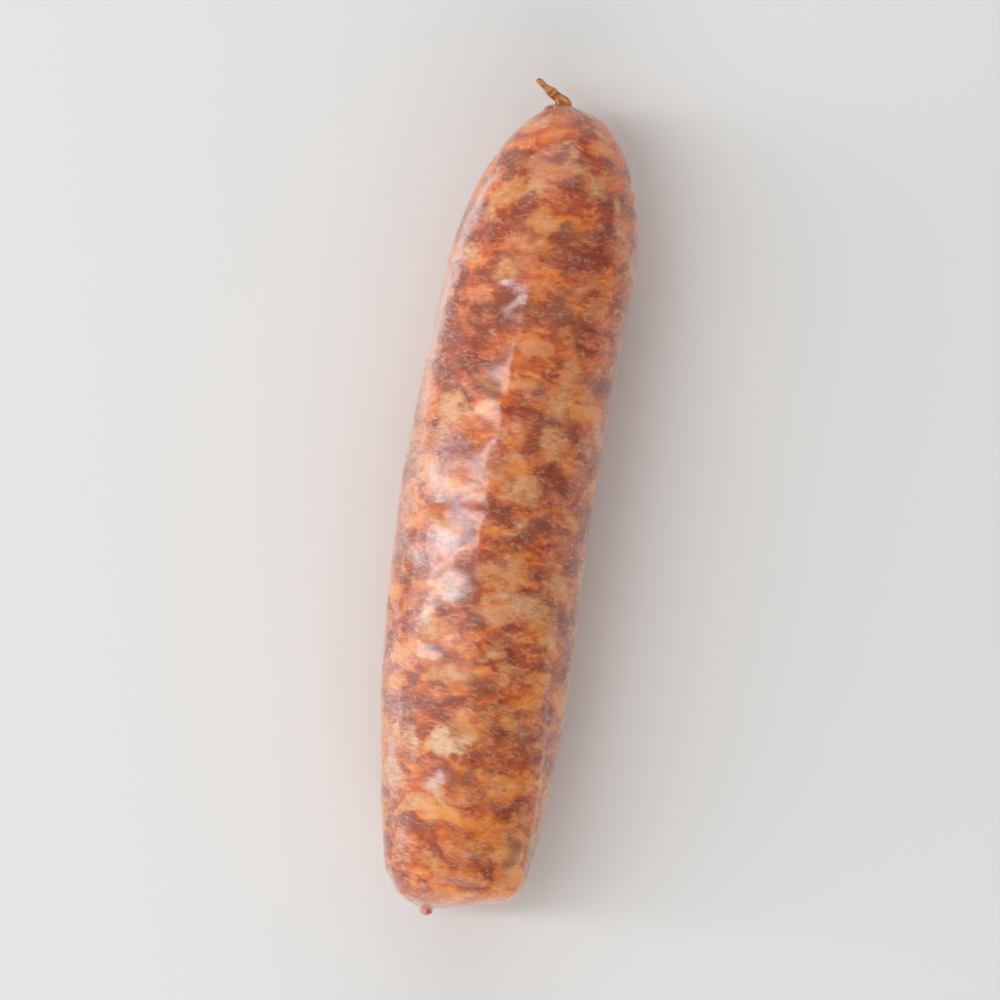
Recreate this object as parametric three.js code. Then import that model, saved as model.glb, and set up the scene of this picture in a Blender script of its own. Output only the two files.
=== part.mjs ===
// A fresh sausage link: coarse mince in a natural casing, cut free of its string at both twists.
// It lies on its side along X and bows a little towards +Y. The end at +X is rounded like half an
// egg and runs out into a thin twisted tail of bare casing. The end at -X is blunt, with the casing
// gathered in pleats round a short cut nub. The soft link has settled on the surface it lies on,
// so its underside is flat along one narrow strip.
// Millimetres, +Z up. The origin is the middle of the link's box, on the resting surface.

import * as THREE from "three";
import { ParametricGeometry } from "three/addons/geometries/ParametricGeometry.js";

// Driving dimensions.
const LENGTH = 149; // of the filled casing, from the blunt end to the foot of the tail
const HALF_WIDTH = 17.6; // at the middle
const SETTLE = 0.955; // height over width of a cross-section: the soft link has sagged
const PRESSED = 0.8; // depth of the flat strip in the underside
const BOW = 2.8; // how far the middle lies towards +Y of a straight link
const DROOP = 5; // how far the two ends hang below the middle's axis

// Ends of the filled casing. Each length runs along the link.
const EGG_END = 34; // length of the rounded half egg at +X
const EGG_SKEW = 1.8; // the foot of the tail lies this far towards +Y of the axis
const EGG_SKEWS_OVER = 1.8; // length over which the axis bends to it
const EGG_NARROWING = 0.5; // how much less the half-width is at the egg than at the middle
const BLUNT_END = 9.5; // length of the blunt dome at -X
const BLUNT_FULLNESS = 3.5; // exponent of the dome's outline: 1 is a cone, more is blunter
const BLUNT_SKEW = 4.4; // its nub lies this far towards +Y of the axis
const BLUNT_SKEWS_OVER = 5;
const BLUNT_NARROWING = 6.1; // how much the half-width falls from the middle to the blunt end
const BLUNT_NARROWS_OVER = 75; // length over which it falls

// Bare casing beyond the filling.
const NUB_LENGTH = 1.3;
const NUB_RADIUS = 1.25;
const TAIL_LENGTH = 8;
const TAIL_FOOT = 1.7; // radius where the tail leaves the link
const TAIL_NARROWS_OVER = 1.1; // length over which the foot shrinks to the tail's own section
const TAIL_HALF_WIDTH = 1.15; // the tail is a flat ribbon
const TAIL_HALF_THICKNESS = 0.65;
const TAIL_TAPER = 0.3; // how much narrower the ribbon is at its tip, as a share
const TAIL_KNOBS = 2.4; // swellings along it where it was wrung
const TAIL_KNOB = 0.14; // their height, as a share of its width
const TAIL_TURNS = 0.2; // turns that the ribbon is twisted by
const TAIL_ROUTE = [
  // control points of its curve, from the foot
  new THREE.Vector3(0, 0, 0),
  new THREE.Vector3(1.6, 0.9, 0.5),
  new THREE.Vector3(2.5, 3.8, 0.8),
  new THREE.Vector3(4.3, 5.5, -0.4),
];

// Relief of the skin.
const LUMPS = 130; // soft swellings and hollows where pieces of the mince lie under the casing
const LUMP_HEIGHT = 0.2; // of the tallest
const LUMP_LEAST = 2.6; // radius of the smallest
const LUMP_SPREAD = 2.6; // how much larger the largest is
const PLEATS = 11; // folds gathered round each end
const PLEAT_DEPTH = 0.55;
const PLEATS_OVER = 3.5; // length over which they fade out
const FLAT_FROM = 4; // the -Y flank is pressed flat between these distances from the blunt end
const FLAT_TO = 60;
const FLAT_EDGE_BLUNT = (157 / 180) * Math.PI; // its upper edge, round the axis from +Y
const FLAT_EDGE_FAR = (132 / 180) * Math.PI;
const FLAT_WIDTH = 16; // down the flank from that edge
const FLAT_DEPTH = 0.6;

// Fineness of the surface.
const AROUND = 56;
const ALONG = 84;
const NUB_SHARE = 0.05; // share of the rings that lie on the nub
const TAIL_SHARE = 0.15; // share that lie on the tail
const CROWDING = 0.6; // how much closer together the other rings lie near the ends, from 0 to 1

const GOLDEN = (Math.sqrt(5) - 1) / 2;
const fraction = (value) => value - Math.floor(value);
const bell = (value) => Math.exp(-value * value);

// A step from 0 to 1 with soft corners while value goes from low to high.
function ease(value, low, high) {
  const share = THREE.MathUtils.clamp((value - low) / (high - low), 0, 1);
  return share * share * (3 - 2 * share);
}

// How far round from one angle to another, between -PI and PI.
function turn(from, to) {
  return THREE.MathUtils.euclideanModulo(to - from + Math.PI, 2 * Math.PI) - Math.PI;
}

// Half-width of the link at a distance from the blunt end: a long body that narrows towards the
// blunt end, closed by a blunt dome there and by half an ellipse at the other end. The nub and
// the foot of the tail keep the ends from closing completely, and the nub has a rounded tip.
function halfWidth(station) {
  const towardsBlunt = BLUNT_NARROWING * Math.max(0, 1 - station / BLUNT_NARROWS_OVER) ** 3;
  const towardsEgg = EGG_NARROWING * ease(station, LENGTH / 2, LENGTH - EGG_END);
  const body = HALF_WIDTH - towardsBlunt - towardsEgg;
  const intoDome = THREE.MathUtils.clamp(1 - station / BLUNT_END, 0, 1);
  const dome = 1 - intoDome ** BLUNT_FULLNESS;
  const intoEgg = THREE.MathUtils.clamp(1 - (LENGTH - station) / EGG_END, 0, 1);
  const egg = Math.sqrt(1 - intoEgg * intoEgg);
  const nub = NUB_RADIUS * Math.sqrt(ease(station, -NUB_LENGTH, -NUB_LENGTH / 2));
  return Math.hypot(body * dome * egg, station < LENGTH / 2 ? nub : TAIL_FOOT);
}

// The swellings lie on a spiral that turns by the golden angle, which spreads them evenly.
const lumps = Array.from({ length: LUMPS }, (_, index) => ({
  station: (LENGTH * (index + 0.5)) / LUMPS,
  angle: 2 * Math.PI * fraction(index * GOLDEN),
  radius: LUMP_LEAST + LUMP_SPREAD * fraction(index * Math.SQRT2),
  height: LUMP_HEIGHT * (2 * fraction(index * Math.sqrt(3)) - 1),
}));

function lumpiness(station, angle) {
  let height = 0;
  for (const lump of lumps) {
    const along = station - lump.station;
    const round = turn(lump.angle, angle) * HALF_WIDTH;
    height += lump.height * bell(Math.hypot(along, round) / lump.radius);
  }
  return height;
}

function pleating(station, angle) {
  const fromEnd = Math.min(Math.abs(station), Math.abs(LENGTH - station));
  const fold = (1 - Math.cos(PLEATS * angle + 0.8 * Math.sin(3 * angle))) / 2;
  const inFilling = ease(halfWidth(station), NUB_RADIUS, 3 * NUB_RADIUS);
  return PLEAT_DEPTH * fold * inFilling * Math.exp(-fromEnd / PLEATS_OVER);
}

// Where the link lay against its neighbour: a long shallow flat with a clear upper edge.
function flattening(station, angle) {
  const share = THREE.MathUtils.clamp((station - FLAT_FROM) / (FLAT_TO - FLAT_FROM), 0, 1);
  const edge = THREE.MathUtils.lerp(FLAT_EDGE_BLUNT, FLAT_EDGE_FAR, share);
  const down = turn(edge, angle) * HALF_WIDTH;
  const across = ease(down, 0, FLAT_WIDTH / 5) * ease(down, FLAT_WIDTH, FLAT_WIDTH / 3);
  return FLAT_DEPTH * across * Math.sin(Math.PI * share) ** 0.5;
}

// The link's axis: it bows in plan, its ends droop, and its two poles lie off to the +Y side.
function axis(station) {
  const bow = (BOW * (1 - Math.cos((2 * Math.PI * station) / LENGTH))) / 2;
  const egg = EGG_SKEW * ease(station, LENGTH - EGG_SKEWS_OVER, LENGTH);
  const blunt = BLUNT_SKEW * ease(station, BLUNT_SKEWS_OVER, 0);
  const thinness = 1 - Math.min(1, halfWidth(station) / HALF_WIDTH);
  const height = HALF_WIDTH * SETTLE - PRESSED - DROOP * thinness;
  return new THREE.Vector3(station - LENGTH / 2, bow + egg + blunt, height);
}

// A point of the filled casing or the nub, on the ring at a station. It stays above the surface
// that the link rests on, which makes the flat strip.
function filledCasing(station, angle, target) {
  const within = THREE.MathUtils.clamp(station, 0, LENGTH);
  const closing = ease(halfWidth(within), NUB_RADIUS, HALF_WIDTH / 2);
  const relief = (lumpiness(within, angle) - flattening(within, angle)) * closing;
  const radius = Math.max(0, halfWidth(station) + relief - pleating(station, angle));
  const offset = new THREE.Vector3(0, Math.cos(angle), SETTLE * Math.sin(angle));
  target.copy(axis(within)).addScaledVector(offset, radius);
  target.x += station - within;
  target.z = Math.max(0, target.z);
}

const tailCurve = new THREE.CubicBezierCurve3(...TAIL_ROUTE);

// A point of the tail: a round foot that thins to a flat twisted ribbon with a rounded tip.
function tail(share, angle, target) {
  const ahead = tailCurve.getTangent(share);
  const aside = new THREE.Vector3(0, 0, 1).cross(ahead).normalize();
  const above = new THREE.Vector3().crossVectors(ahead, aside);
  const foot = TAIL_FOOT * Math.exp((-share * TAIL_LENGTH) / TAIL_NARROWS_OVER);
  const tip = Math.sqrt(1 - ease(share, 0.9, 1));
  const wrung = 1 + TAIL_KNOB * Math.sin(2 * Math.PI * TAIL_KNOBS * share);
  const ribbon = wrung * (1 - TAIL_TAPER * share) * (1 - foot / TAIL_FOOT);
  const across = (foot + TAIL_HALF_WIDTH * ribbon) * tip * Math.cos(angle);
  const through = (foot + TAIL_HALF_THICKNESS * ribbon) * tip * Math.sin(angle);
  const twist = 2 * Math.PI * TAIL_TURNS * share;
  target.copy(axis(LENGTH)).add(tailCurve.getPoint(share));
  target.addScaledVector(aside, across * Math.cos(twist) - through * Math.sin(twist));
  target.addScaledVector(above, across * Math.sin(twist) + through * Math.cos(twist));
}

// The whole skin as one closed surface. Round is the share of a turn about the axis, and along
// runs from the tip of the nub to the tip of the tail.
function skin(round, along, target) {
  const angle = 2 * Math.PI * (round % 1);
  const inBody = (along - NUB_SHARE) / (1 - NUB_SHARE - TAIL_SHARE);
  const crowded = inBody - (CROWDING * Math.sin(2 * Math.PI * inBody)) / (2 * Math.PI);
  if (along < NUB_SHARE) {
    filledCasing(-NUB_LENGTH * (1 - along / NUB_SHARE), angle, target);
  } else if (along < 1 - TAIL_SHARE) {
    filledCasing(LENGTH * crowded, angle, target);
  } else {
    tail((along - 1 + TAIL_SHARE) / TAIL_SHARE, angle, target);
  }
}

const surface = new ParametricGeometry(skin, AROUND, ALONG);
surface.computeBoundingBox();
const middle = surface.boundingBox.getCenter(new THREE.Vector3());
surface.translate(-middle.x, -middle.y, -surface.boundingBox.min.z);

const casing = new THREE.MeshStandardMaterial({ color: 0xbc7656, roughness: 0.35, metalness: 0 });
const link = new THREE.Mesh(surface, casing);
link.name = "sausage_link";

const part = new THREE.Group();
part.add(link);
export default part;
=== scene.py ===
"""A fresh sausage link: coarse paprika mince in a natural casing, cut free of its string.

It lies on its side along X, with its twisted casing tail at +X. Blender's units are metres. The
link's own shape is worked out in millimetres, and turned to metres as it goes into the mesh.
"""

import bpy
import numpy as np
from mathutils import Matrix, Vector


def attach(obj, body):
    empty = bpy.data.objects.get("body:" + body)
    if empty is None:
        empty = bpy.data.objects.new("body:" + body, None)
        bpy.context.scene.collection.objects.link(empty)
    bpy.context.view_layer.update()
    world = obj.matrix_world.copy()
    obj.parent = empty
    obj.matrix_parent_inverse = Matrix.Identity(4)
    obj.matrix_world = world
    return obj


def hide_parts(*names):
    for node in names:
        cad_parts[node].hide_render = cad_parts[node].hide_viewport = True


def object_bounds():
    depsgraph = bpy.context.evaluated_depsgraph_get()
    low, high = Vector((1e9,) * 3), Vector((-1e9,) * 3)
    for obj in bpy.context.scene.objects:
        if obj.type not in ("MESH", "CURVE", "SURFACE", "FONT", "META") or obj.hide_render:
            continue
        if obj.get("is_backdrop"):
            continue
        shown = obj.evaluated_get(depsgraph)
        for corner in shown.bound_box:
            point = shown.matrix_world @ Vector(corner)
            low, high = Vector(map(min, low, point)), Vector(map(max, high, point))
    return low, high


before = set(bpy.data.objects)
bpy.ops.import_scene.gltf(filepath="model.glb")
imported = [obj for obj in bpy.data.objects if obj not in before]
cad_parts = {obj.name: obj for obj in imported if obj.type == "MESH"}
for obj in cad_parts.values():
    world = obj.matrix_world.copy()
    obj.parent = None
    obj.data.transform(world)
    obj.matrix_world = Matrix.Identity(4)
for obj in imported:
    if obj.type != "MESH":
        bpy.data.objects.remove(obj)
cad_low, cad_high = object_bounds()

# ---------------------------------------------------------------------------------------------
# The filled casing
# A length of cleaned hog gut, stuffed with mince and twisted shut at both ends. The soft link
# has sagged on the surface that it lies on, so its underside is flat along a narrow strip.
# ---------------------------------------------------------------------------------------------

LENGTH = 149.0  # from the blunt end to the foot of the tail
HALF_WIDTH = 17.6  # at the middle
SETTLE = 0.955  # height over width of a cross-section
PRESSED = 0.8  # depth of the flat strip in the underside
BOW = 2.8  # how far the middle lies towards +Y of a straight link
DROOP = 5.0  # how far the two ends hang below the middle's axis

EGG_END = 34.0  # length of the rounded half egg at +X
EGG_SKEW, EGG_SKEWS_OVER = 1.8, 1.8  # how far its pole lies to +Y of the axis, over what length
EGG_NARROWING = 0.5  # how much less the half-width is there than at the middle
BLUNT_END = 9.5  # length of the blunt dome at -X
BLUNT_FULLNESS = 3.5  # exponent of the dome's outline: 1 is a cone, more is blunter
BLUNT_SKEW, BLUNT_SKEWS_OVER = 4.4, 5.0
BLUNT_NARROWING, BLUNT_NARROWS_OVER = 6.1, 75.0
NUB_LENGTH, NUB_RADIUS = 1.25, 1.25  # of the cut stub of casing at the blunt end
TAIL_FOOT = 1.7  # radius where the tail leaves the other end

LUMPS, LUMP_HEIGHT = 130, 0.2  # soft swellings and hollows over the mince
LUMP_LEAST, LUMP_SPREAD = 2.6, 2.6  # the smallest radius, and how much larger the largest is
GOLDEN = (5**0.5 - 1) / 2
PLEATS, PLEAT_DEPTH, PLEATS_OVER = 11, 0.55, 3.5  # folds gathered round each end
PLEAT_WANDER = 0.8  # how unevenly they stand round it
FLAT_FROM, FLAT_TO = 4.0, 60.0  # the -Y flank lay against its neighbour
FLAT_EDGE_BLUNT, FLAT_EDGE_FAR = np.radians(157), np.radians(132)  # its upper edge, from +Y
FLAT_WIDTH, FLAT_DEPTH = 16.0, 0.6

AROUND = 260  # points in a ring
NUB_RINGS, BODY_RINGS = 12, 312
CROWDING = 0.45  # how much closer together the body's rings lie near its ends


def ease(value, low, high):
    """A step from 0 to 1 with soft corners while value goes from low to high."""
    share = np.clip((value - low) / (high - low), 0, 1)
    return share * share * (3 - 2 * share)


def turn(start, end):
    """How far round from one angle to another, between -pi and pi."""
    return (end - start + np.pi) % (2 * np.pi) - np.pi


def half_width(station):
    """Half-width at a distance from the blunt end.

    A long body, narrowing by the cube of the way to the blunt end, times a blunt dome there and
    half an ellipse at the other end. The nub or the tail's foot is added as the other side of a
    right angle, so that the ends don't close completely. The nub has a rounded tip.
    """
    towards_blunt = BLUNT_NARROWING * np.maximum(0, 1 - station / BLUNT_NARROWS_OVER) ** 3
    towards_egg = EGG_NARROWING * ease(station, LENGTH / 2, LENGTH - EGG_END)
    dome = 1 - np.clip(1 - station / BLUNT_END, 0, 1) ** BLUNT_FULLNESS
    egg = np.sqrt(1 - np.clip(1 - (LENGTH - station) / EGG_END, 0, 1) ** 2)
    nub = NUB_RADIUS * np.sqrt(ease(station, -NUB_LENGTH, -NUB_LENGTH / 2))
    bare = np.where(station < LENGTH / 2, nub, TAIL_FOOT)
    return np.hypot((HALF_WIDTH - towards_blunt - towards_egg) * dome * egg, bare)


def lumpiness(station, angle):
    """Soft swellings and hollows: bell curves on a spiral that turns by the golden angle."""
    index = np.arange(LUMPS)
    height = 0
    for at, round_at, radius, tall in zip(
        LENGTH * (index + 0.5) / LUMPS,
        2 * np.pi * (index * GOLDEN % 1),
        LUMP_LEAST + LUMP_SPREAD * (index * 2**0.5 % 1),
        LUMP_HEIGHT * (2 * (index * 3**0.5 % 1) - 1),
    ):
        round_off = turn(round_at, angle) * HALF_WIDTH
        height = height + tall * np.exp(-((station - at) ** 2 + round_off**2) / radius**2)
    return height


def pleating(station, angle):
    """Depth of the folds gathered round each end: a wavy cosine that fades along the link."""
    from_end = np.minimum(np.abs(station), np.abs(LENGTH - station))
    fold = (1 - np.cos(PLEATS * angle + PLEAT_WANDER * np.sin(3 * angle))) / 2
    in_filling = ease(half_width(station), NUB_RADIUS, 3 * NUB_RADIUS)
    return PLEAT_DEPTH * fold * in_filling * np.exp(-from_end / PLEATS_OVER)


def flattening(station, angle):
    """Depth of the pressed flank: steps from 0 at its upper edge, and back to 0 further down."""
    share = np.clip((station - FLAT_FROM) / (FLAT_TO - FLAT_FROM), 0, 1)
    edge = FLAT_EDGE_BLUNT + (FLAT_EDGE_FAR - FLAT_EDGE_BLUNT) * share
    down = turn(edge, angle) * HALF_WIDTH
    across = ease(down, 0, FLAT_WIDTH / 5) * ease(down, FLAT_WIDTH, FLAT_WIDTH / 3)
    return FLAT_DEPTH * across * np.sqrt(np.sin(np.pi * share))


def axis(station):
    """The link's axis: bowed by a cosine, drooping where it is thin, its poles off to +Y."""
    bow = BOW * (1 - np.cos(2 * np.pi * station / LENGTH)) / 2
    egg = EGG_SKEW * ease(station, LENGTH - EGG_SKEWS_OVER, LENGTH)
    blunt = BLUNT_SKEW * ease(station, BLUNT_SKEWS_OVER, 0)
    thinness = 1 - np.minimum(1, half_width(station) / HALF_WIDTH)
    height = HALF_WIDTH * SETTLE - PRESSED - DROOP * thinness
    return np.stack([station - LENGTH / 2, bow + egg + blunt, height], axis=-1)


body_share = np.linspace(0, 1, BODY_RINGS)
body_station = LENGTH * (body_share - CROWDING * np.sin(2 * np.pi * body_share) / (2 * np.pi))
nub_station = np.linspace(-NUB_LENGTH, 0, NUB_RINGS, endpoint=False)
station = np.concatenate([nub_station, body_station])[:, None]
within = np.clip(station, 0, LENGTH)
angle = (2 * np.pi * np.arange(AROUND) / AROUND)[None, :]

# Each point's place on the link if it were straight and smooth: along, and across both ways.
core_radius = half_width(within)
straight = np.stack(
    np.broadcast_arrays(within, core_radius * np.cos(angle), core_radius * np.sin(angle)), axis=-1
)

# ---------------------------------------------------------------------------------------------
# The mince under the casing
# Lean and fat pork, ground through a coarse plate and mixed with paprika and garlic. Pieces of
# both press against the thin casing from inside, each a rough ellipsoid lying in the red paste.
# ---------------------------------------------------------------------------------------------

SEED = 11
FAT_PIECES, LEAN_PIECES = 400, 340
FAT_SIZES, LEAN_SIZES = (0.8, 3.4), (1.0, 4.2)  # from the smallest to the largest
FAT_CROWD, LEAN_CROWD = (0.95, 0.65), (0.03, 0.8)  # how likely, at the blunt end and at the tail
FAT_STAIN, LEAN_STAIN = (0.5, 0.9), (1.0, 1.0)  # the greatest shade of a piece at each end
BLUNT_FADE, TAIL_FADE = (-0.04, 0.06), (1.0, 0.92)  # shares of the length where they thin out
SLIM, STOUT = (0.45, 0.8, 0.6), (0.9, 1.6, 0.9)  # shares of its size: along, round and into
SMALL_ONES = 1.8  # exponent of the draw of sizes: the more, the more small pieces
TILTS = 0.4  # spread of the pieces' tilt, in radians
DEPTHS = (-0.2, 0.6)  # of their middles under the casing, as shares of their size
SOFTNESS, COVER = (1.0, 3.0), (0.25, 0.8)
MIDDLE_SHADE, MIDDLE_DEPTH = 0.25, 1.6  # a piece's shade grows by the one, over the other
RAGGED = ((0.6, 6.0, 0), (0.15, 2.0, 3))  # heights, wavelengths and seeds of their edges' waves
SHOWN_GROWS = 1.08  # the pieces below are this much larger, because their soft edges hide some
SHOWN_DEPTH, SHOWN_SOFTNESS, SHOWN_COVER = 0.3, 2.0, 0.7
SHOWN_WITHIN = 0.98  # their middles lie within this share of the half-width

# The pieces that show most on the upper side: along, across to +Y, half length, half width,
# tilt and shade. Shades run from stained to clean in fat, and from brown to purple in lean.
SHOWN_FAT = [
    (3.8, -4.6, 2.2, 3.6, 0, 0.55),
    (-3.0, -4.4, 1.2, 2.6, -10, 0.5),
    (13.0, -9.0, 2.8, 2.4, 0, 0.45),
    (22.4, -9.0, 3.0, 2.0, 10, 0.45),
    (27.6, -9.4, 1.4, 2.0, 0, 0.4),
    (60.4, -7.6, 2.2, 2.0, 0, 0.5),
    (56.0, -12.0, 2.8, 1.6, 0, 0.3),
    (62.6, -3.0, 1.6, 1.6, 0, 0.2),
    (52.4, 0.6, 2.0, 2.4, 20, 0.3),
    (58.4, 4.0, 1.3, 3.6, 15, 0.4),
    (43.0, 5.8, 1.7, 2.2, 0, 0.35),
    (-16.2, -7.4, 2.2, 6.0, 5, 0.6),
    (-26.2, -2.6, 1.0, 2.2, -20, 0.8),
    (-22.2, 8.6, 2.2, 2.2, 0, 0.35),
    (-31.0, 4.6, 1.3, 4.2, -10, 0.5),
    (-42.2, 0.6, 2.9, 2.4, 10, 0.95),
    (-43.4, 4.0, 2.4, 2.4, 0, 0.9),
    (-40.0, 1.6, 1.4, 2.0, 0, 0.1),
    (-37.4, -7.4, 1.8, 2.2, 0, 0.15),
    (-52.2, 4.6, 1.4, 3.0, 25, 0.2),
    (-61.0, -2.4, 1.8, 2.6, 0, 0.05),
    (-65.0, 4.0, 1.6, 2.2, 30, 0.1),
    (-12.4, -2.0, 1.8, 2.8, 10, 0.3),
    (16.4, 10.8, 2.4, 3.6, 10, 0.85),
    (11.0, 11.4, 1.8, 1.8, 0, 0.0),
]
SHOWN_LEAN = [
    (-20.4, 0.0, 2.6, 2.2, 0, 0.75),
    (-49.0, 1.8, 1.3, 3.6, -8, 0.9),
    (16.4, -8.2, 2.2, 3.0, 0, 0.85),
    (16.0, -12.4, 2.2, 1.7, 0, 0.4),
    (12.4, -5.0, 2.0, 2.2, 0, 0.4),
    (22.6, -5.0, 1.4, 1.8, 0, 0.9),
    (22.0, 4.2, 2.6, 3.4, 0, 1.0),
    (11.0, 6.2, 1.8, 2.4, 0, 1.0),
    (37.0, -6.0, 2.6, 3.2, 0, 0.9),
    (51.6, -8.4, 1.3, 2.8, -10, 0.8),
    (46.4, -5.6, 2.6, 3.2, 0, 0.6),
    (55.0, 5.0, 2.1, 2.6, 0, 0.2),
    (63.6, 0.0, 1.7, 2.2, 0, 0.1),
    (49.4, 10.0, 1.4, 2.0, 0, 0.4),
    (35.2, 7.8, 1.7, 2.8, 10, 0.4),
    (-2.6, -8.0, 3.0, 2.2, 20, 0.6),
    (-10.4, -9.6, 1.8, 2.2, 0, 0.4),
    (-32.0, -1.0, 2.2, 3.0, 0, 0.6),
    (-36.4, 0.2, 1.1, 4.2, -5, 0.15),
    (-39.4, -10.2, 1.9, 3.4, 0, 0.7),
    (-61.0, -10.4, 2.6, 1.8, 0, 0.8),
    (-47.4, -5.4, 1.2, 4.2, 0, 0.1),
    (-51.4, -3.0, 1.2, 4.6, 5, 0.15),
]

# Milky film where the casing is drawn thin or wrinkled, partly painted highlight on the lit +Y
# flank:
# along, across, two half sizes and cover.
SHOWN_FILM_HIGHLIGHTS = [
    (-6.9, 7.7, 2.2, 3.4, 0.9),
    (-10.5, 12.3, 1.8, 2.6, 0.8),
    (-14.5, 5.6, 2.2, 2.6, 0.9),
    (-2.0, 4.0, 1.6, 2.0, 0.5),
    (3.0, 11.0, 2.4, 3.0, 0.4),
    (13.0, 9.0, 1.6, 4.0, 0.4),
    (-22.0, 10.0, 2.0, 2.4, 0.5),
    (-44.0, 9.5, 2.6, 2.6, 0.5),
    (-51.0, 5.0, 1.8, 2.4, 1.0),
    (-38.0, 12.5, 4.0, 2.0, 0.5),
    (56.0, 13.2, 5.0, 2.2, 0.8),
    (46.0, 15.4, 8.0, 3.2, 0.9),
    (32.0, 16.4, 9.0, 4.0, 0.8),
    (18.0, 16.0, 8.0, 4.6, 0.55),
    (4.0, 15.5, 8.0, 4.8, 0.55),
    (-8.0, 15.6, 6.0, 4.4, 0.5),
    (-30.0, 14.8, 8.0, 3.4, 0.5),
    (-48.0, 13.6, 9.0, 3.2, 0.7),
    (-62.0, 10.4, 5.0, 3.0, 0.6),
    (7.0, 9.5, 5.0, 4.5, 0.6),
]


def ripple(place, wavelength, seed, waves=14):
    """A smooth random field: the mean of sine waves of about one length, in random directions."""
    draw = np.random.default_rng(seed)
    direction = draw.normal(size=(waves, 3))
    direction /= np.linalg.norm(direction, axis=1, keepdims=True)
    length = wavelength * draw.uniform(0.7, 1.4, waves)
    phase = draw.uniform(0, 2 * np.pi, waves)
    total = np.zeros(place.shape[:-1])
    for along, size, start in zip(direction, length, phase):
        total += np.sin(place @ (2 * np.pi * along / size) + start)
    return total * (2 / waves) ** 0.5


def embed(kind, at, round_at, half_sizes, tilt, depth, shade, softness, cover):
    """Lays one piece over those before it, in amount and shades.

    A piece is an ellipsoid. Nearness is one minus the distance from its centre, measured in the
    piece's own half sizes, along the link, round it and into it; tilt turns the first two. Its
    edge fades over softness, in millimetres, and cover is how opaque the middle is.
    """
    radius = float(half_width(np.array(at))) - depth
    out = np.array([0, np.cos(round_at), np.sin(round_at)])
    aside_at = np.array([0, -np.sin(round_at), np.cos(round_at)])
    ahead = np.array([np.cos(tilt), 0, 0]) + aside_at * np.sin(tilt)
    aside = np.cross(out, ahead)
    reach = max(half_sizes) + 2
    near = slice(*np.searchsorted(station[:, 0], [at - reach, at + reach]))
    offset = ragged[near] - np.array([at, 0, 0]) - radius * out
    own = np.stack([offset @ ahead, offset @ aside, offset @ out], axis=-1) / half_sizes
    inside = (1 - np.linalg.norm(own, axis=-1)) * min(half_sizes)
    share = cover * ease(inside, -softness / 2, softness / 2)
    for name, field in amount.items():
        field[near] += share * ((name == kind) - field[near])
    middle = shade + MIDDLE_SHADE * (ease(inside, 0, MIDDLE_DEPTH) - 0.5)
    shades[kind][near] += share * (middle - shades[kind][near])


def scatter(count, seed, sizes, crowd, stain):
    """Random pieces by a seeded draw, fading out towards both ends of the link."""
    draw = np.random.default_rng(seed)
    made = []
    while len(made) < count:
        share = draw.uniform()
        likely = crowd[0] + (crowd[1] - crowd[0]) * share
        if draw.uniform() > likely * ease(share, *BLUNT_FADE) * ease(share, *TAIL_FADE):
            continue
        size = sizes[0] + (sizes[1] - sizes[0]) * draw.uniform() ** SMALL_ONES
        half_sizes = size * draw.uniform(SLIM, STOUT)
        made.append(
            dict(
                at=LENGTH * share,
                round_at=draw.uniform(0, 2 * np.pi),
                half_sizes=half_sizes,
                tilt=draw.normal(0, TILTS),
                depth=draw.uniform(*DEPTHS) * size,
                shade=(stain[0] + (stain[1] - stain[0]) * share) * draw.uniform(),
                softness=draw.uniform(*SOFTNESS),
                cover=draw.uniform(*COVER),
            )
        )
    return made


def seen(along, across, half_length, half_round, tilt, shade):
    """A piece that shows, by its distances from the middle of the link, seen from above."""
    at = LENGTH / 2 + along
    share_across = across / float(half_width(np.array(at)))
    half_sizes = np.array([half_length, half_round, min(half_length, half_round)])
    return dict(
        at=at,
        round_at=np.arccos(np.clip(share_across, -SHOWN_WITHIN, SHOWN_WITHIN)),
        half_sizes=SHOWN_GROWS * half_sizes,
        tilt=np.radians(tilt),
        depth=SHOWN_DEPTH,
        shade=shade,
        softness=SHOWN_SOFTNESS,
        cover=SHOWN_COVER,
    )


ragged = straight.copy()
for height, wavelength, first in RAGGED:
    for way in range(3):
        ragged[..., way] += height * ripple(straight, wavelength, SEED + first + way)

film_and_highlight = np.zeros(straight.shape[:2])
amount = {"fat": film_and_highlight.copy(), "lean": film_and_highlight.copy()}
shades = {"fat": film_and_highlight + 0.4, "lean": film_and_highlight + 0.5}
random_fat = scatter(FAT_PIECES, SEED, FAT_SIZES, FAT_CROWD, FAT_STAIN)
random_lean = scatter(LEAN_PIECES, SEED + 1, LEAN_SIZES, LEAN_CROWD, LEAN_STAIN)
pieces = [("fat", piece) for piece in random_fat] + [("lean", piece) for piece in random_lean]
for number in np.random.default_rng(SEED + 2).permutation(len(pieces)):
    embed(pieces[number][0], **pieces[number][1])
for placed in SHOWN_LEAN:
    embed("lean", **seen(*placed))
for placed in SHOWN_FAT:
    embed("fat", **seen(*placed))

ragged_angle = np.arctan2(ragged[..., 2], ragged[..., 1])
# Painted highlight as well as milky film: each listed patch whitens the casing's colour on the lit
# +Y flank.
for along, across, half_length, half_round, cover in SHOWN_FILM_HIGHLIGHTS:
    at = LENGTH / 2 + along
    round_at = np.arccos(across / float(half_width(np.array(at))))
    off_along = (ragged[..., 0] - at) / half_length
    off_round = turn(round_at, ragged_angle) * HALF_WIDTH / half_round
    film_and_highlight += cover * np.exp(-(off_along**2) - off_round**2)

# ---------------------------------------------------------------------------------------------
# The tail
# Empty casing, wrung between this link and the next and cut through with a knife. It has twisted
# into a short flat ribbon, knobbed where it was wrung, and bends away to +Y.
# ---------------------------------------------------------------------------------------------

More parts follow.
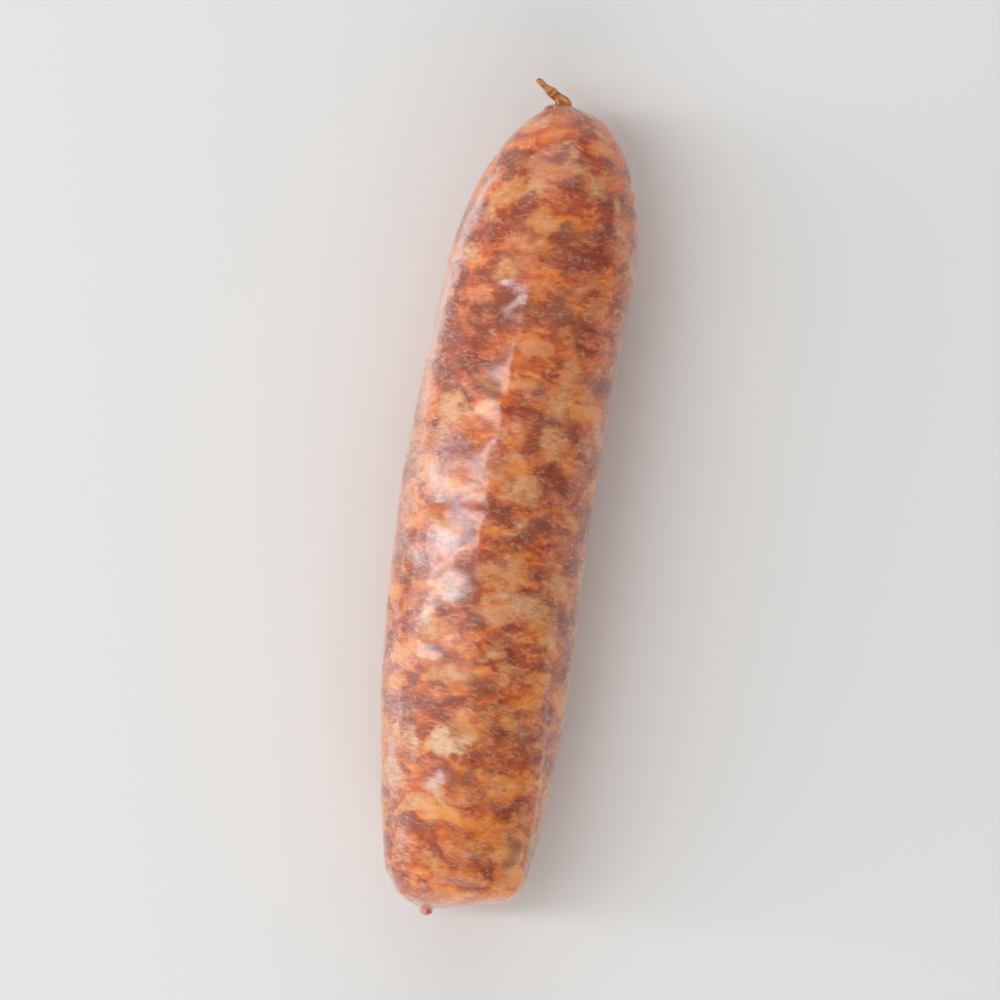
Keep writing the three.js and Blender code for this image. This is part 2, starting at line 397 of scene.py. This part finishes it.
TAIL_RINGS = 44
TAIL_LENGTH = 8.0
TAIL_NARROWS_OVER = 1.1  # length over which the foot shrinks to the ribbon's own section
TAIL_HALF_WIDTH, TAIL_HALF_THICKNESS = 1.15, 0.65
TAIL_TIP = 0.9  # the share of its length where its tip begins to round off
TAIL_TURNS = 0.2
TAIL_TAPER = 0.3  # how much narrower it is at its tip, as a share
TAIL_KNOBS, TAIL_KNOB = 2.4, 0.14  # swellings along it, and their height as a share of its width
TAIL_FOLD_SHADES = 3.2  # painted shade: dark bands for the folds that wind round it
TAIL_FOLD_SHADES_WANDER, TAIL_FOLD_SHADES_WAVES = 1.5, 3.0  # by how many radians, and over what length
TAIL_ROUTE = np.array([(0, 0, 0), (1.6, 0.9, 0.5), (2.5, 3.8, 0.8), (4.3, 5.5, -0.4)])


def tail_skin(share, angle):
    """A round foot that thins by an exponential to a flat ribbon, twisted along a cubic Bezier
    curve, with a rounded tip."""
    left = 1 - share
    powers = np.stack([left**3, 3 * left**2 * share, 3 * left * share**2, share**3], axis=-1)
    slopes = np.stack(
        [-(left**2), left**2 - 2 * left * share, 2 * left * share - share**2, share**2], axis=-1
    )
    ahead = slopes @ TAIL_ROUTE
    ahead /= np.linalg.norm(ahead, axis=-1, keepdims=True)
    aside = np.cross([0, 0, 1], ahead)
    aside /= np.linalg.norm(aside, axis=-1, keepdims=True)
    above = np.cross(ahead, aside)
    foot = np.exp(-share * TAIL_LENGTH / TAIL_NARROWS_OVER)
    tip = np.sqrt(1 - ease(share, TAIL_TIP, 1))
    knobs = (1 - TAIL_TAPER * share) * (1 + TAIL_KNOB * np.sin(2 * np.pi * TAIL_KNOBS * share))
    ribbon = knobs * (1 - foot)
    across = (TAIL_FOOT * foot + TAIL_HALF_WIDTH * ribbon) * tip * np.cos(angle)
    through = (TAIL_FOOT * foot + TAIL_HALF_THICKNESS * ribbon) * tip * np.sin(angle)
    twist = 2 * np.pi * TAIL_TURNS * share
    sideways = across * np.cos(twist) - through * np.sin(twist)
    upwards = across * np.sin(twist) + through * np.cos(twist)
    middle = axis(np.array(LENGTH)) + powers @ TAIL_ROUTE
    return middle + sideways[..., None] * aside + upwards[..., None] * above


tail_share = np.linspace(0, 1, TAIL_RINGS + 1)[1:, None]
tail = tail_skin(tail_share, angle)

# ---------------------------------------------------------------------------------------------
# The link's skin
# One closed surface of casing, drawn tight by the filling: the nub, the filled length and the
# tail. Each piece of fat that shows swells it a little, and it sinks a little over the lean.
# ---------------------------------------------------------------------------------------------

MM = 0.001
FAT_SWELLS, LEAN_SINKS = 0.04, 0.03
SKIN_UNDER, LEAST_UNDER = 0.07, 0.02  # how far it lies inside the link's plain form
SWELLS = ((0.03, 6.0, SEED + 20), (0.006, 2.2, SEED + 21))  # heights, wavelengths and seeds
NUB_FOLDS, NUB_FOLD_DEPTH = 3, 0.45  # in the cut stub
NUB_FOLDS_TURN = 0.5
NUB_FOLDS_FROM, NUB_FOLDS_TO = 0.6, -0.2  # where they start, and where they are full
# The casing shows bare of mince near its ends: how bare, and from what half-width to what.
BARE_BY = ((0.7, 3.5, 1.6), (0.3, 9.0, 4.0))

raised = FAT_SWELLS * amount["fat"] - LEAN_SINKS * amount["lean"] - SKIN_UNDER
for height, wavelength, seed in SWELLS:
    raised += height * ripple(straight, wavelength, seed)
closing = ease(core_radius, NUB_RADIUS, HALF_WIDTH / 2)
relief = lumpiness(within, angle) - flattening(within, angle) + np.minimum(raised, -LEAST_UNDER)
creases = 1 - np.abs(np.cos(NUB_FOLDS / 2 * angle + NUB_FOLDS_TURN))
nub_folds = NUB_FOLD_DEPTH * creases * ease(station, NUB_FOLDS_FROM, NUB_FOLDS_TO)
radius = half_width(station) + relief * closing - pleating(station, angle) - nub_folds
offset = np.broadcast_arrays(0 * station, np.cos(angle), SETTLE * np.sin(angle))
filled = axis(within) + np.maximum(0, radius)[..., None] * np.stack(offset, axis=-1)
filled[..., 0] += station - within
filled[..., 2] = np.maximum(0, filled[..., 2])

skin = np.concatenate([filled, tail])
low, high = skin.min(axis=(0, 1)), skin.max(axis=(0, 1))
skin[..., :2] -= (low + high)[:2] / 2


def with_poles(rings):
    """The points of a closed skin, ring by ring. The first and last ring are one point each."""
    return np.concatenate([rings[:1, 0], rings[1:-1].reshape(-1, 3), rings[-1:, 0]])


def closed_skin(name, rings):
    """A mesh from rings of points: quads between two rings, and triangles round each pole."""
    count, around = rings.shape[:2]
    points = with_poles(rings)
    column = np.arange(around)
    following = (column + 1) % around
    start = 1 + around * np.arange(count - 3)[:, None]
    quads = np.stack(
        [start + column, start + following, start + around + following, start + around + column],
        axis=-1,
    ).reshape(-1, 4)
    last = 1 + around * (count - 3)
    first_pole = np.stack([0 * column, 1 + following, 1 + column], axis=-1)
    last_pole = np.stack([0 * column + len(points) - 1, last + column, last + following], axis=-1)
    mesh = bpy.data.meshes.new(name)
    mesh.from_pydata(points * MM, [], [*quads.tolist(), *first_pole.tolist(), *last_pole.tolist()])
    mesh.shade_smooth()
    made = bpy.data.objects.new(name, mesh)
    bpy.context.scene.collection.objects.link(made)
    return made


gathered = 0 * film_and_highlight
for bareness, wide, narrow in BARE_BY:
    gathered += bareness * ease(core_radius, wide, narrow)
at_tail = np.where(station < LENGTH / 2, 0.0, 1.0)
tail_place = skin[-TAIL_RINGS:] + [LENGTH / 2, 0, 0]
wander = TAIL_FOLD_SHADES_WANDER * ripple(tail_place, TAIL_FOLD_SHADES_WAVES, SEED + 30)
# Painted shade: dark spiral bands stand for the shade in the tail's folds, which the ribbon's
# shape doesn't have.
tail_fold_shade = 0.5 + 0.5 * np.sin(2 * np.pi * TAIL_FOLD_SHADES * tail_share + angle + wander)
no_mince = np.zeros(tail.shape)

link = closed_skin("sausage_link_skin", skin)
for name, on_filling, on_tail in (
    ("place", straight, tail_place),
    # The third channel of mince is the milky film with its painted highlight.
    ("mince", np.stack([amount["fat"], amount["lean"], film_and_highlight], axis=-1), no_mince),
    ("tint", np.stack([shades["fat"], shades["lean"], 0 * film_and_highlight], axis=-1), no_mince),
    (
        "bare",
        np.stack([gathered * at_tail, gathered * (1 - at_tail), 0 * film_and_highlight], axis=-1),
        np.stack([1 + 0 * tail_fold_shade, 0 * tail_fold_shade, tail_fold_shade], axis=-1),
    ),
):
    values = with_poles(np.concatenate([on_filling, on_tail])).astype(np.float32)
    attribute = link.data.attributes.new(name, "FLOAT_VECTOR", "POINT")
    attribute.data.foreach_set("vector", values.ravel())
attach(link, "root")
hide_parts("sausage_link")

# ---------------------------------------------------------------------------------------------
# Moist hog casing over paprika mince
# Scraped and soaked gut, a clear membrane a tenth of a millimetre thick, wet and pulled smooth.
# To the eye it is a glossy coat, milky at a slant, over soft-edged meat that light sinks into.
# ---------------------------------------------------------------------------------------------

# Colours and where they lie. The paste runs from lean smears to fatty ones, the fat from stained
# to clean, and the lean from brown to purple.
PASTE = [
    (0.48, "#9c462b"), (0.58, "#bc5d38"), (0.67, "#d57444"), (0.77, "#e88f5a"), (0.89, "#f7b080")
]
FAT = [(0.0, "#d47f38"), (0.25, "#df9350"), (0.5, "#e8aa74"), (0.75, "#f1c194"), (1.0, "#f9d8b4")]
LEAN = [(0.0, "#8e3f29"), (0.35, "#914734"), (0.7, "#8f4e4a"), (1.0, "#87595e")]
# Tints that multiply the colours: of paprika oil, and from the blunt end to the tail.
OIL = [(0.0, "#f4eefa"), (0.5, "#fffadc"), (1.0, "#ffe68c")]
LENGTHWISE = [
    (0.12, "#fff2b8"), (0.35, "#fff3da"), (0.5, "#fff5ec"), (0.75, "#ffe3be"), (0.95, "#ffd8a2")
]
# The milky film's white is partly a painted highlight on the lit flank.
PALE_FIBRES, DARK_FIBRES, MILKY_FILM_HIGHLIGHT = "#f2bd98", "#63281a", "#f0e0e2"
DRIED_TAIL = [(0.3, "#a8560c"), (0.48, "#d07c16"), (0.66, "#e39a3c")]
# Painted shade in the dried tail's folds.
DRIED_FOLD_SHADE = "#7c3d10"
CUT_NUB = [(0.35, "#8c3328"), (0.48, "#c97f6c"), (0.7, "#eab09c")]
SLANT_MILKINESS = "#f3ddd2"


def linear(hex_colour):
    """An sRGB hex colour as linear red, green, blue and alpha."""
    parts = np.array([int(hex_colour[i : i + 2], 16) / 255 for i in (1, 3, 5)])
    return (*np.where(parts <= 0.04045, parts / 12.92, ((parts + 0.055) / 1.055) ** 2.4), 1.0)


casing = bpy.data.materials.new("moist_hog_casing_over_paprika_mince")
casing.use_nodes = True
tree = casing.node_tree
tree.nodes.clear()


def add_node(kind, inputs=(), stops=(), **settings):
    """Adds a node to the casing's material.

    Inputs maps a socket's name or number to a value or to another socket. Stops are a colour
    ramp's positions and hex colours, in order.
    """
    node = tree.nodes.new("ShaderNode" + kind)
    for key, value in settings.items():
        setattr(node, key, value)
    for key, value in dict(inputs).items():
        if isinstance(value, bpy.types.NodeSocket):
            tree.links.new(value, node.inputs[key])
        else:
            node.inputs[key].default_value = value
    if stops:
        elements = node.color_ramp.elements
        for _ in stops[2:]:
            elements.new(1.0)
        for element, (position, hex_colour) in zip(elements, stops):
            element.position, element.color = position, linear(hex_colour)
    return node


place, mince, tint, bare = (
    add_node("Attribute", attribute_name=name).outputs["Vector"]
    for name in ("place", "mince", "tint", "bare")
)
along = add_node("SeparateXYZ", {0: place}).outputs["X"]
fat, lean, filmed_and_highlight = add_node("SeparateXYZ", {0: mince}).outputs
fat_tint, lean_tint, _ = add_node("SeparateXYZ", {0: tint}).outputs
bare_tail, bare_nub, tail_fold_shading = add_node("SeparateXYZ", {0: bare}).outputs

# Place is in millimetres, so a pattern's scale is one over the size of what it stands for. Both
# mappings shorten patterns along the link and draw them out round it, as stuffing smears mince.
squeezed = add_node("Mapping", {"Vector": place, "Scale": (1.6, 0.9, 0.9)}).outputs[0]
stretched = add_node("Mapping", {"Vector": place, "Scale": (1.7, 0.75, 0.75)}).outputs[0]
patterns = {}
for name, coordinates, scale, detail, roughness, distortion in (
    ("pinches", squeezed, 0.16, 3.0, 0.5, 0.8),  # 6 mm, the holes of the coarse plate
    ("grains", squeezed, 0.9, 5.0, 0.6, 0.0),  # 1 mm, the finest pieces
    ("smears", stretched, 0.45, 4.0, 0.58, 1.6),  # 2 mm, fat rubbed into the lean
    ("clumps", squeezed, 0.28, 3.0, 0.55, 0.0),  # 3.5 mm, grains that stuck together
    ("edges", squeezed, 0.45, 3.0, 0.55, 0.5),  # 2 mm, the torn edges of the pieces
    ("oil", squeezed, 0.13, 3.0, 0.5, 0.0),  # 8 mm, where the paprika oil has gathered
    # Bundles of meat fibres are 0.5 mm thick. That is too fine to show, so they are drawn 2.4 mm.
    ("fibres", stretched, 0.42, 5.0, 0.62, 1.8),
    ("wrinkles", stretched, 0.35, 4.0, 0.55, 1.2),  # 3 mm, where the casing hugs the pieces
):
    patterns[name] = add_node(
        "TexNoise",
        {
            "Vector": coordinates,
            "Scale": scale,
            "Detail": detail,
            "Roughness": roughness,
            "Distortion": distortion,
        },
    ).outputs
grains, smears = patterns["grains"]["Fac"], patterns["smears"]["Fac"]

# Morsels are cells 6 mm across with soft borders, which the clumps push about by 6 mm.
wandering = add_node(
    "VectorMath",
    {0: patterns["clumps"]["Color"], 1: (6.0, 6.0, 6.0), 2: squeezed},
    operation="MULTIPLY_ADD",
).outputs[0]
morsels = add_node(
    "TexVoronoi", {"Vector": wandering, "Scale": 0.17, "Smoothness": 0.3}, feature="SMOOTH_F1"
).outputs
morsel = add_node("SeparateColor", {0: morsels["Color"]}).outputs

blended = patterns["pinches"]["Fac"]
for pattern, share in (
    (grains, 0.12),
    (smears, 0.16),
    (morsel["Red"], 0.32),
    (morsels["Distance"], -0.24),
):
    blended = add_node(
        "Math", {0: pattern, 1: share, 2: blended}, operation="MULTIPLY_ADD"
    ).outputs[0]
paste_colour = add_node("ValToRGB", {"Fac": blended}, PASTE).outputs["Color"]

# The oil gathers in some morsels, and a little more towards the blunt end.
towards_blunt = add_node(
    "MapRange", {"Value": along, "From Min": 50.0, "From Max": 5.0, "To Max": 0.08}
).outputs[0]
oily = patterns["oil"]["Fac"]
for pattern, share in ((towards_blunt, 1.0), (morsel["Green"], 0.2)):
    oily = add_node("Math", {0: pattern, 1: share, 2: oily}, operation="MULTIPLY_ADD").outputs[0]
oily = add_node(
    "MapRange",
    {"Value": oily, "From Min": 0.42, "From Max": 0.76},
    interpolation_type="SMOOTHSTEP",
).outputs[0]
oil_tint = add_node("ValToRGB", {"Fac": oily}, OIL).outputs["Color"]

# Torn edges: the mean of two patterns makes a piece's share rise or fall before it is read.
torn = add_node("Math", {0: patterns["edges"]["Fac"], 1: smears}, operation="ADD").outputs[0]
torn = add_node("Math", {0: torn, 1: 0.55, 2: -0.55}, operation="MULTIPLY_ADD").outputs[0]
uneven = add_node("Math", {0: smears, 1: 0.6, 2: -0.45}, operation="MULTIPLY_ADD").outputs[0]
uneven = add_node("Math", {0: grains, 1: 0.3, 2: uneven}, operation="MULTIPLY_ADD").outputs[0]
covers, colours = [], []
for share, whole, shade, stops in ((fat, 0.85, fat_tint, FAT), (lean, 0.9, lean_tint, LEAN)):
    share = add_node("Math", {0: share, 1: torn}, operation="ADD").outputs[0]
    cover = add_node(
        "MapRange", {"Value": share, "From Max": whole}, interpolation_type="SMOOTHSTEP"
    )
    shade = add_node("Math", {0: uneven, 1: shade}, operation="ADD").outputs[0]
    covers.append(cover.outputs[0])
    colours.append(add_node("ValToRGB", {"Fac": shade}, stops).outputs["Color"])
mottled = add_node(
    "MapRange",
    {
        "Value": patterns["edges"]["Fac"],
        "From Min": 0.3,
        "From Max": 0.6,
        "To Min": 0.5,
        "To Max": 0.95,
    },
).outputs[0]
fat_cover = add_node("Math", {0: covers[0], 1: mottled}, operation="MULTIPLY").outputs[0]
lean_cover = add_node("Math", {0: covers[1], 1: 0.8}, operation="MULTIPLY").outputs[0]

# Thin layers over all: pale and dark fibres, the milky film with its painted highlight, and
# painted shade in the creases of the dried tail.
milky_and_highlight = add_node("Math", {0: smears, 1: 1.6, 2: filmed_and_highlight}, operation="MULTIPLY_ADD").outputs[0]
pale_cover, dark_cover, milky_highlight_cover, fold_shade_cover = (
    add_node(
        "MapRange",
        {"Value": value, "From Min": start, "From Max": end, "To Max": most},
        interpolation_type="SMOOTHSTEP",
    ).outputs[0]
    for value, start, end, most in (
        (patterns["fibres"]["Fac"], 0.5, 0.72, 0.45),
        (patterns["fibres"]["Fac"], 0.47, 0.28, 0.38),
        (milky_and_highlight, 0.8, 2.0, 0.6),
        (tail_fold_shading, 0.5, 1.0, 0.7),
    )
)
share_along = add_node("Math", {0: along, 1: 1 / LENGTH}, operation="MULTIPLY").outputs[0]
lengthwise = add_node("ValToRGB", {"Fac": share_along}, LENGTHWISE).outputs["Color"]
dried = add_node("ValToRGB", {"Fac": grains}, DRIED_TAIL).outputs["Color"]
cut = add_node("ValToRGB", {"Fac": grains}, CUT_NUB).outputs["Color"]

FACTOR, BELOW, ABOVE, MIXED = 0, 6, 7, 2  # sockets of a Mix node that mixes colours
# Painted shade: the dark colour is mixed into the tail where its fold bands lie.
dried = add_node(
    "Mix", {FACTOR: fold_shade_cover, BELOW: dried, ABOVE: linear(DRIED_FOLD_SHADE)}, data_type="RGBA"
).outputs[MIXED]
colour = paste_colour
for cover, above, blend in (
    (1.0, oil_tint, "MULTIPLY"),
    (lean_cover, colours[1], "MIX"),
    (1.0, lengthwise, "MULTIPLY"),
    (fat_cover, colours[0], "MIX"),
    (pale_cover, linear(PALE_FIBRES), "MIX"),
    (dark_cover, linear(DARK_FIBRES), "MIX"),
    # Painted highlight: milky white mixed into the colour, strongest at the listed patches on the
    # lit flank.
    (milky_highlight_cover, linear(MILKY_FILM_HIGHLIGHT), "MIX"),
    (bare_tail, dried, "MIX"),
    (bare_nub, cut, "MIX"),
):
    colour = add_node(
        "Mix", {FACTOR: cover, BELOW: colour, ABOVE: above}, data_type="RGBA", blend_type=blend
    ).outputs[MIXED]

creased = add_node(
    "Math", {0: grains, 1: 0.8, 2: patterns["wrinkles"]["Fac"]}, operation="MULTIPLY_ADD"
).outputs[0]
bump = add_node("Bump", {"Height": creased, "Strength": 0.8, "Distance": 0.0003})
shader = add_node(
    "BsdfPrincipled",
    {
        "Base Color": colour,
        "Roughness": 0.38,
        "IOR": 1.42,
        # Light sinks about 1.5 mm into raw fat and lean, red furthest.
        "Subsurface Weight": 0.25,
        "Subsurface Radius": (1.0, 0.35, 0.18),
        "Subsurface Scale": 0.0015,
        # The wet membrane, whose fine wrinkles spread the highlights.
        "Coat Weight": 1.0,
        "Coat Roughness": 0.13,
        "Coat IOR": 1.47,
        "Sheen Weight": 0.16,
        "Sheen Roughness": 0.3,
        "Sheen Tint": linear(SLANT_MILKINESS),
        "Normal": bump.outputs["Normal"],
    },
)
add_node("OutputMaterial", {"Surface": shader.outputs[0]})
link.data.materials.append(casing)

# ---------------------------------------------------------------------------------------------
# The floor
# A wide sheet of pale matt paper, laid flat under the link. It isn't coated, so it takes a soft
# shadow and gives no reflection.
# ---------------------------------------------------------------------------------------------

FLOOR_HALF = 4.0  # metres, like every size from here on

scene = bpy.context.scene
corners = FLOOR_HALF * np.array([(-1, -1, 0), (1, -1, 0), (1, 1, 0), (-1, 1, 0)])
floor_mesh = bpy.data.meshes.new("floor")
floor_mesh.from_pydata(corners, [], [(0, 1, 2, 3)])
floor = bpy.data.objects.new("floor", floor_mesh)
scene.collection.objects.link(floor)
floor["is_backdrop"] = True
paper = bpy.data.materials.new("pale_matt_paper")
paper.use_nodes = True
paper.node_tree.nodes["Principled BSDF"].inputs["Base Color"].default_value = linear("#efeeec")
paper.node_tree.nodes["Principled BSDF"].inputs["Roughness"].default_value = 0.9
floor_mesh.materials.append(paper)

# ---------------------------------------------------------------------------------------------
# Studio light
# A tall soft window on the left, in strips so that the link mirrors a bright band that fades
# towards its blunt end, a low strip that lights the left flank, and a soft light past each end.
# ---------------------------------------------------------------------------------------------

# The picture's own directions on the floor: its top leans a little off the link's long axis.
PICTURE_TURN = np.radians(8.7)
picture_up = Vector((np.cos(PICTURE_TURN), np.sin(PICTURE_TURN), 0))
picture_right = Vector((np.sin(PICTURE_TURN), -np.cos(PICTURE_TURN), 0))
overhead = Vector((0, 0, 1))
link_middle = (cad_low + cad_high) / 2

FILL = 0.3  # strength of the even light from all round
WINDOW_FAR = 1.2  # how far off the windows stand
DAYLIGHT, WHITE = (0.93, 0.97, 1.0), (1.0, 1.0, 1.0)
# Degrees down from overhead, width, where it starts and ends up the picture, and radiance.
WINDOWS = {
    "window_top": (42, 1.5, 0.13, 0.17, 1.6, DAYLIGHT),
    "window": (42, 1.5, 0.02, 0.13, 10.0, DAYLIGHT),
    "window_between": (44, 1.9, -0.2, 0.02, 1.0, WHITE),
    "window_below": (47, 2.4, -0.48, -0.2, 0.6, WHITE),
    "low_window": (88, 0.6, -0.03, 0.22, 2.8, WHITE),
    "low_window_near": (88, 0.6, -1.0, -0.03, 0.7, WHITE),
    "low_window_far": (88, 0.6, 0.22, 1.0, 0.7, WHITE),
}
END_FAR, END_DOWN, END_SIZE = 1.3, 62, (1.4, 0.8)
END_LIGHTS = {"far_light": (1, 1.4), "near_light": (-1, 1.9)}  # which end, and radiance


def stand(thing, location, right, facing):
    """Places a light or a camera with its width along right, looking the other way from facing."""
    turned = Matrix((right, facing.cross(right), facing)).transposed()
    thing.matrix_world = Matrix.Translation(location) @ turned.to_4x4()


def light_panel(name, location, right, facing, width, height, radiance, colour):
    """A rectangle of light that the camera doesn't see, of power pi times radiance times area."""
    data = bpy.data.lights.new(name, "AREA")
    data.shape = "RECTANGLE"
    data.size, data.size_y = width, height
    data.energy = radiance * np.pi * width * height
    data.color = colour
    made = bpy.data.objects.new(name, data)
    scene.collection.objects.link(made)
    stand(made, location, right, facing)
    made.visible_camera = False


world = bpy.data.worlds.new("studio")
scene.world = world
world.use_nodes = True
world.node_tree.nodes["Background"].inputs["Color"].default_value = (1.0, 0.99, 0.97, 1)
world.node_tree.nodes["Background"].inputs["Strength"].default_value = FILL
scene.view_settings.view_transform = "Standard"

for name, (down, width, start, end, radiance, colour) in WINDOWS.items():
    facing = -picture_right * np.sin(np.radians(down)) + overhead * np.cos(np.radians(down))
    location = link_middle + facing * WINDOW_FAR + picture_up * (start + end) / 2
    right = picture_up.cross(facing)
    light_panel(name, location, right, facing, width, end - start, radiance, colour)
for name, (side, radiance) in END_LIGHTS.items():
    facing = picture_up * side * np.sin(np.radians(END_DOWN))
    facing += overhead * np.cos(np.radians(END_DOWN))
    location = link_middle + facing * END_FAR
    light_panel(name, location, picture_right, facing, *END_SIZE, radiance, WHITE)

# ---------------------------------------------------------------------------------------------
# The camera
# A long lens above the link. It stands a little off to the right, so a little more of the right
# flank shows than of the left, and it looks straight at the link's middle.
# ---------------------------------------------------------------------------------------------

HEIGHT = 1.3
SPAN = 0.182  # width of what the picture shows, at the link
OFF_RIGHT, OFF_UP = 0.051, 0.0044

camera_data = bpy.data.cameras.new("camera")
camera_data.sensor_width = 36
camera_data.lens = camera_data.sensor_width * HEIGHT / SPAN
camera_data.clip_start, camera_data.clip_end = 0.05, 20
camera = bpy.data.objects.new("camera", camera_data)
scene.collection.objects.link(camera)
off_middle = picture_right * OFF_RIGHT + picture_up * OFF_UP + overhead * HEIGHT
back = off_middle.normalized()
stand(camera, link_middle + off_middle, picture_up.cross(back).normalized(), back)
scene.camera = camera

low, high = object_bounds()
